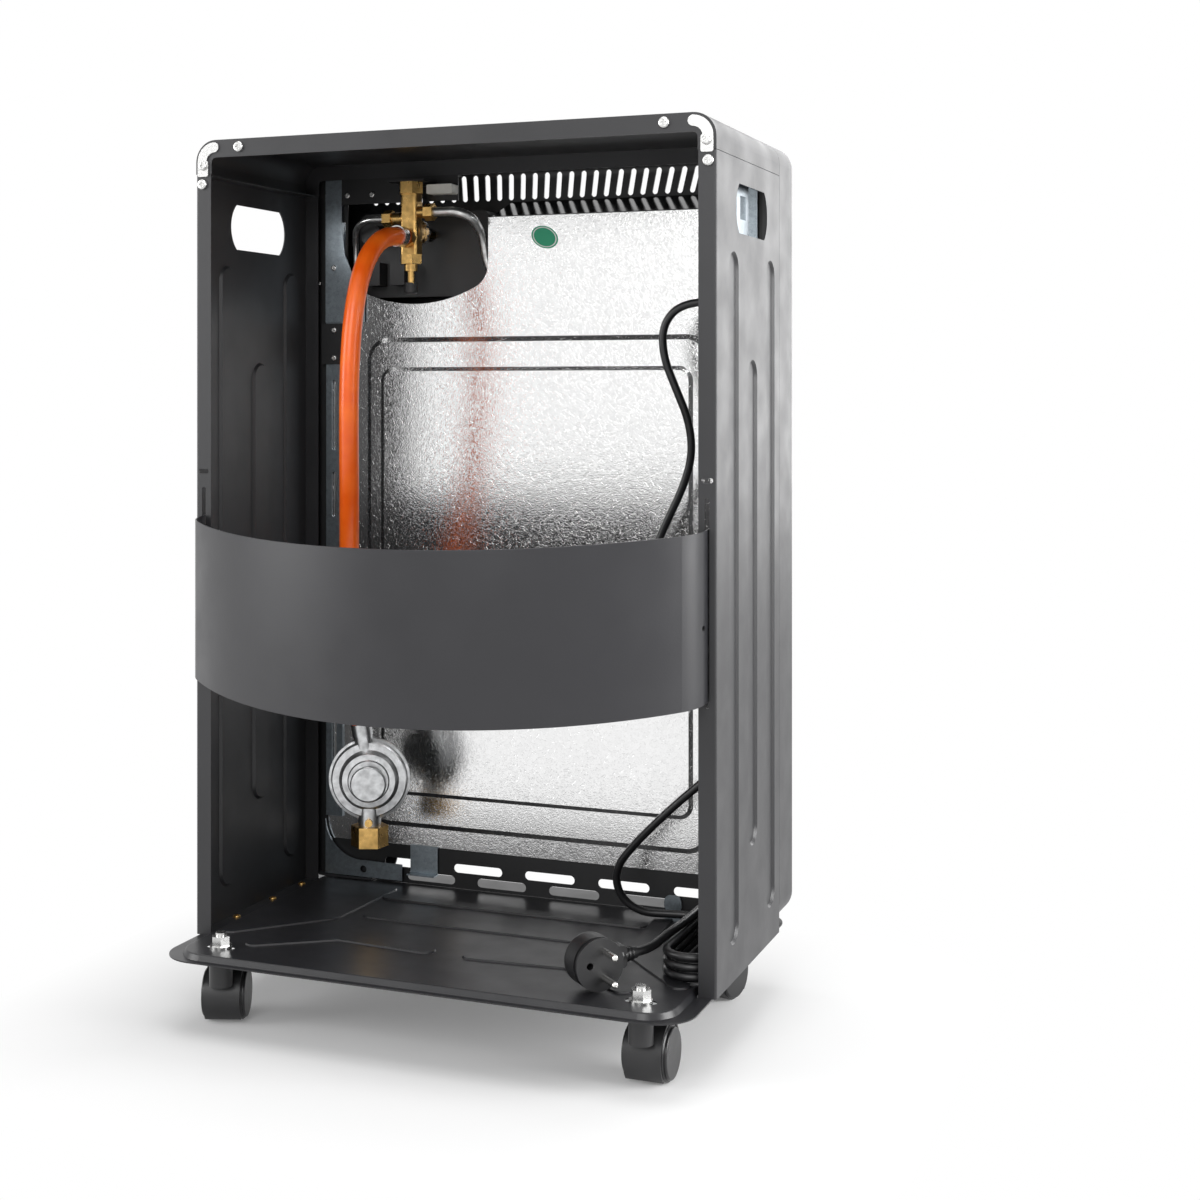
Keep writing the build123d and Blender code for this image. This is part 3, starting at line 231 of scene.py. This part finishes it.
# Regulator: a die-cast housing with a bright satin skin and a round cap,
# and a collar of the same look on its hose tail.
die_cast = brass_of("die_cast_alloy", (0.74, 0.75, 0.76), 0.26)
dress(die_cast, "regulator_body", "regulator_collar", "regulator_cap")


# Moulded black plastics: castors, knob, pocket, plug, gland and cases.
# The moulds are spark eroded, which leaves a fine even grain.
def moulded(name, colour, rough, grain=0.00003, coat=0.0):
    finish = Finish(name, colour, rough, coat=coat)
    wear = finish.cloud(0.02, 4.0)
    finish.set("Base Color", wear.spread(0.3, 0.7).tint(shade(colour, 0.85), shade(colour, 1.15)))
    finish.set("Roughness", wear.spread(0.3, 0.7, rough - 0.05, rough + 0.06))
    finish.bump(finish.cloud(0.0006, 2.0), grain)
    return finish.made


hood_plastic = moulded("castor_hood_plastic", (0.016, 0.016, 0.017), 0.42)
wheel_plastic = moulded("castor_wheel_plastic", (0.013, 0.013, 0.014), 0.32, 0.00001)
for corner in ("rear_left", "rear_right", "front_left", "front_right"):
    dress(hood_plastic, f"castor_{corner}_housing")
    dress(wheel_plastic, f"castor_{corner}_wheels")
dress(moulded("moulded_black", (0.018, 0.018, 0.019), 0.44), "control_pocket", "control_knob", "switch_bodies",
      "magnet_cap", "junction_box", "cord_gland", "cord_tie")
dress(moulded("plug_rubber", (0.014, 0.014, 0.015), 0.36, 0.00002), "plug_body")
dress(moulded("button_gloss", (0.015, 0.015, 0.016), 0.16, 0.000005), "igniter_button")
dress(moulded("rocker_red", (0.42, 0.012, 0.008), 0.2, 0.000005), "rocker_left", "rocker_right")
dress(moulded("white_block", (0.72, 0.71, 0.66), 0.5), "ceramic_block")
dress(zinc_sheet("plug_pin_nickel", (0.84, 0.83, 0.80), 0.14, 0.001, 0.000004), "plug_pins")

# Wire guard and reflector: bright chromed wire over the burner,
# and a polished stainless surround with rolling lines.
chrome = Finish("guard_chrome", (0.82, 0.82, 0.83), 0.1, metal=1.0)
chrome.set("Roughness", chrome.cloud(0.01).spread(0.3, 0.7, 0.06, 0.16))
dress(chrome.made, "wire_guard")
steel = Finish("polished_steel", (0.84, 0.83, 0.81), 0.12, metal=1.0)
steel.set("Roughness", steel.cloud(0.001, 2.0, (0.03, 1, 1)).spread(0.3, 0.7, 0.07, 0.24))
dress(steel.made, "reflector")

# Ceramic plaques: pressed buff ceramic, pierced by rows of fine holes about 2.4 mm apart.
# Gas burns at the face of the holes.
plaque = Finish("pierced_ceramic", (0.70, 0.62, 0.50), 0.85)
across, _, up = plaque.axes()
pitch = 1 / 0.0024
column = (across * pitch).join("FRACT") - 0.5
row = (up * pitch).join("FRACT") - 0.5
hole = (column * column + row * row).join("SQRT").spread(0.2, 0.32)
soot = plaque.cloud(0.03).spread(0.3, 0.8, 0.75, 1.0)
# The holes are painted near black, painted shade inside them; the soot cloud darkens the ceramic a little at
# random.
plaque.set("Base Color", (hole * soot).tint((0.05, 0.04, 0.035), (0.72, 0.64, 0.52)))
plaque.bump(hole, 0.0004)
dress(plaque.made, "ceramic_plaques")

# Quartz tubes: frosted quartz with a coiled wire inside.
# Their ends are white ceramic and show no coil.
quartz = Finish("frosted_quartz", (0.80, 0.79, 0.77), 0.22, coat=0.4)
across, _, _ = quartz.axes()
coil = (across * (2 * math.pi / 0.004)).join("SINE").spread(0.1, 0.8)
inside = across.join("ABSOLUTE").spread(0.136, 0.137, 1.0, 0.0)
quartz.set("Base Color", (coil * inside).tint((0.82, 0.81, 0.79), (0.36, 0.33, 0.31)))
dress(quartz.made, "quartz_tubes")

# Round sticker: a green oval with a pale line inside its rim, stuck on the shield a little turned.
# It carries no words.
oval = Finish("green_sticker", (0.004, 0.34, 0.17), 0.3)
across, _, up = oval.axes()
turn = math.radians(24)
half_long, half_short = 0.0125, 0.009
right, rise = across + 0.011, up - 0.6215
along = (right * (math.cos(turn) / half_long)) + (rise * (math.sin(turn) / half_long))
over = (rise * (math.cos(turn) / half_short)) - (right * (math.sin(turn) / half_short))
radius = (along * along + over * over).join("SQRT")
ring = (radius - 0.86).join("ABSOLUTE").spread(0.03, 0.05, 1.0, 0.0)
oval.set("Base Color", ring.tint((0.004, 0.32, 0.16), (0.85, 0.86, 0.84)))
dress(oval.made, "sticker")

# Bottle band: a springy steel strip that holds the gas bottle in the bay.
# It is coated like the cabinet, and a little smoother.
band_coat = coat_steel("band_powder_coat", (0.021, 0.021, 0.024), 0.36)
dress(band_coat, "bottle_band")


# Gas hose: orange rubber, 16 mm thick, pushed on the valve's nozzle and hanging in the bay.
# Its far end carries the regulator, which goes on the bottle.
def lay_cord(name, points, diameter, material, body="cabinet"):
    curve = bpy.data.curves.new(name, "CURVE")
    curve.dimensions = "3D"
    curve.bevel_depth = diameter / 2
    curve.bevel_resolution = 7
    curve.resolution_u = 12
    curve.use_fill_caps = True
    line = curve.splines.new("NURBS")
    line.points.add(len(points) - 1)
    for knot, point in zip(line.points, points):
        knot.co = (*point, 1)
    line.order_u = 3
    line.use_endpoint_u = True
    piece = bpy.data.objects.new(name, curve)
    bpy.context.scene.collection.objects.link(piece)
    curve.materials.append(material)
    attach(piece, body)
    return piece


hose_rubber = Finish("orange_hose_rubber", (1.0, 0.15, 0.004), 0.42, coat=0.12)
dust = hose_rubber.cloud(0.02, 4.0)
hose_rubber.set("Base Color", dust.spread(0.3, 0.75).tint((0.90, 0.11, 0.003), (1.0, 0.17, 0.008)))
hose_rubber.set("Roughness", dust.spread(0.3, 0.7, 0.28, 0.42))
hose_rubber.bump(hose_rubber.cloud(0.0015, 2.0), 0.00003)
hose_line = [
    (0.1030, -0.07935, 0.6220), (0.1030, -0.05335, 0.6220), (0.1035, -0.02555, 0.6108),
    (0.1040, -0.00375, 0.5874), (0.1045, 0.00995, 0.5498), (0.1050, 0.01515, 0.5001),
    (0.1065, 0.01215, 0.4470), (0.1100, 0.00465, 0.3940), (0.1170, -0.00835, 0.3430),
    (0.1255, -0.02685, 0.2950), (0.1313, -0.04465, 0.2505), (0.1260, -0.04735, 0.2130),
]
hose = lay_cord("gas_hose_line", hose_line, 0.016, hose_rubber.made)
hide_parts("gas_hose")

# Mains lead: black round flex, 6.5 mm thick. It leaves the gland, hangs beside the shield,
# winds three times in a tied hank at the wall, and ends in an earthed plug on the tray.
lead_line = [
    (-0.1690, -0.07335, 0.5620), (-0.1470, -0.07335, 0.5620), (-0.1295, -0.07435, 0.5450),
    (-0.1295, -0.07635, 0.5190), (-0.1390, -0.08035, 0.4930), (-0.1485, -0.08535, 0.4670),
    (-0.1500, -0.08935, 0.4400), (-0.1410, -0.09235, 0.4130), (-0.1280, -0.09385, 0.3880),
    (-0.1160, -0.09335, 0.3610), (-0.1105, -0.09085, 0.3310), (-0.1150, -0.08535, 0.3000),
    (-0.1330, -0.07735, 0.2730), (-0.1620, -0.06835, 0.2580), (-0.1890, -0.06135, 0.2400),
    (-0.1920, -0.05735, 0.2090), (-0.1700, -0.05635, 0.1870), (-0.1470, -0.06035, 0.1670),
    (-0.1260, -0.06535, 0.1470), (-0.1060, -0.07235, 0.1270), (-0.0880, -0.07935, 0.1050),
    (-0.0885, -0.08535, 0.0820), (-0.1050, -0.09135, 0.0679), (-0.1280, -0.09835, 0.0673),
    (-0.1500, -0.10235, 0.0673), (-0.1685, -0.08435, 0.0673), (-0.1685, -0.05535, 0.0673),
]
hank_x, hank_low, hank_high, hank_r, climb = -0.188, -0.05535, 0.03365, 0.0195, 0.0071
hank_floor, hank_turns = 0.0673, 3
near, bend = 0.414 * hank_r, 0.008
for loop in range(hank_turns):
    z = hank_floor + loop * climb
    top = z + climb
    lead_line += [
        (hank_x + hank_r, hank_low + bend, z), (hank_x + hank_r, hank_high - bend, z),
        (hank_x + hank_r, hank_high + near, z), (hank_x + near, hank_high + hank_r, z),
        (hank_x - near, hank_high + hank_r, z), (hank_x - hank_r, hank_high + near, z),
        (hank_x - hank_r, hank_high - bend, z), (hank_x - hank_r, hank_low + bend, top),
        (hank_x - hank_r, hank_low - near, top), (hank_x - near, hank_low - hank_r, top),
        (hank_x + near, hank_low - hank_r, top), (hank_x + hank_r, hank_low - near, top),
    ]
lead_line += [
    (-0.1685, -0.03135, 0.0886), (-0.1682, -0.00535, 0.0889), (-0.1655, 0.02665, 0.0887),
    (-0.1596, 0.04954, 0.0833), (-0.1522, 0.06019, 0.0833),
]
flex = moulded("black_flex", (0.012, 0.012, 0.013), 0.34, 0.00001)
lead = lay_cord("mains_lead_line", lead_line, 0.0065, flex)
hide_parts("power_cord", "cord_hank", "plug_cord")

# Floor: a wide pale sheet of paper. For the camera and in reflections it glows plain white away from the
# heater;
# close to it the glow fades out, a painted shadow fall-off over the paper's own grey and its real shadow.
ground = bpy.data.meshes.new("floor")
ground.from_pydata([(-9, -9, 0), (9, -9, 0), (9, 9, 0), (-9, 9, 0)], [], [(0, 1, 2, 3)])
floor = bpy.data.objects.new("floor", ground)
bpy.context.scene.collection.objects.link(floor)
paper = Finish("floor_paper", (0.86, 0.86, 0.86), 0.9)
rays = paper.tree.nodes.new("ShaderNodeLightPath")
seen = Field(paper.tree, rays.outputs["Is Camera Ray"])
seen = seen.join("MAXIMUM", Field(paper.tree, rays.outputs["Is Glossy Ray"]))
across, along, _ = paper.axes()
half_width, half_depth = 0.215, 0.174
beside = (across.join("ABSOLUTE") - half_width).join("MAXIMUM", 0.0)
before = (along.join("ABSOLUTE") - half_depth).join("MAXIMUM", 0.0)
clear = (beside * beside + before * before).join("SQRT")
glow = paper.tree.nodes.new("ShaderNodeEmission")
glow.inputs["Strength"].default_value = 1.0
blend = paper.tree.nodes.new("ShaderNodeMixShader")
# The glow's share falls towards the heater's footprint: painted shadow fall-off.
paper.tree.links.new((seen * clear.spread(0.0, 0.16, 0.12, 1.0)).socket, blend.inputs[0])
paper.tree.links.new(paper.shader.outputs[0], blend.inputs[1])
paper.tree.links.new(glow.outputs[0], blend.inputs[2])
paper.tree.links.new(blend.outputs[0], paper.tree.nodes["Material Output"].inputs[0])
ground.materials.append(paper.made)

# Light: a white studio that shows as plain white, with five large soft lamps round the heater.
# Each lamp has a name, a place, a width in metres and a power in watts, and faces the cabinet's middle.
world = bpy.data.worlds.new("studio")
bpy.context.scene.world = world
world.use_nodes = True
sky = world.node_tree
rays = sky.nodes.new("ShaderNodeLightPath")
shown = Field(sky, rays.outputs["Is Camera Ray"]).join("MAXIMUM", Field(sky, rays.outputs["Is Glossy Ray"]))
shown = shown.join("MAXIMUM", Field(sky, rays.outputs["Is Transmission Ray"]))
sky.nodes["Background"].inputs["Color"].default_value = (1, 1, 1, 1)
sky.links.new(shown.spread(0.0, 1.0, 0.25, 1.0).socket, sky.nodes["Background"].inputs["Strength"])
lamps = [
    ("left", (2.0, 1.3, 0.9), 1.3, 26),
    ("right", (-2.2, -0.1, 0.9), 1.4, 58),
    ("back", (-0.2, 2.4, 1.5), 1.2, 22),
    ("top", (0.0, 0.0, 2.2), 1.6, 20),
    ("front", (-0.6, -2.0, 0.9), 1.4, 16),
]
middle = Vector((0, 0, 0.35))
for name, spot, width, power in lamps:
    lamp = bpy.data.objects.new(name, bpy.data.lights.new(name, "AREA"))
    lamp.data.size = width
    lamp.data.energy = power
    lamp.location = spot
    lamp.rotation_euler = (middle - Vector(spot)).to_track_quat("-Z", "Y").to_euler()
    bpy.context.scene.collection.objects.link(lamp)
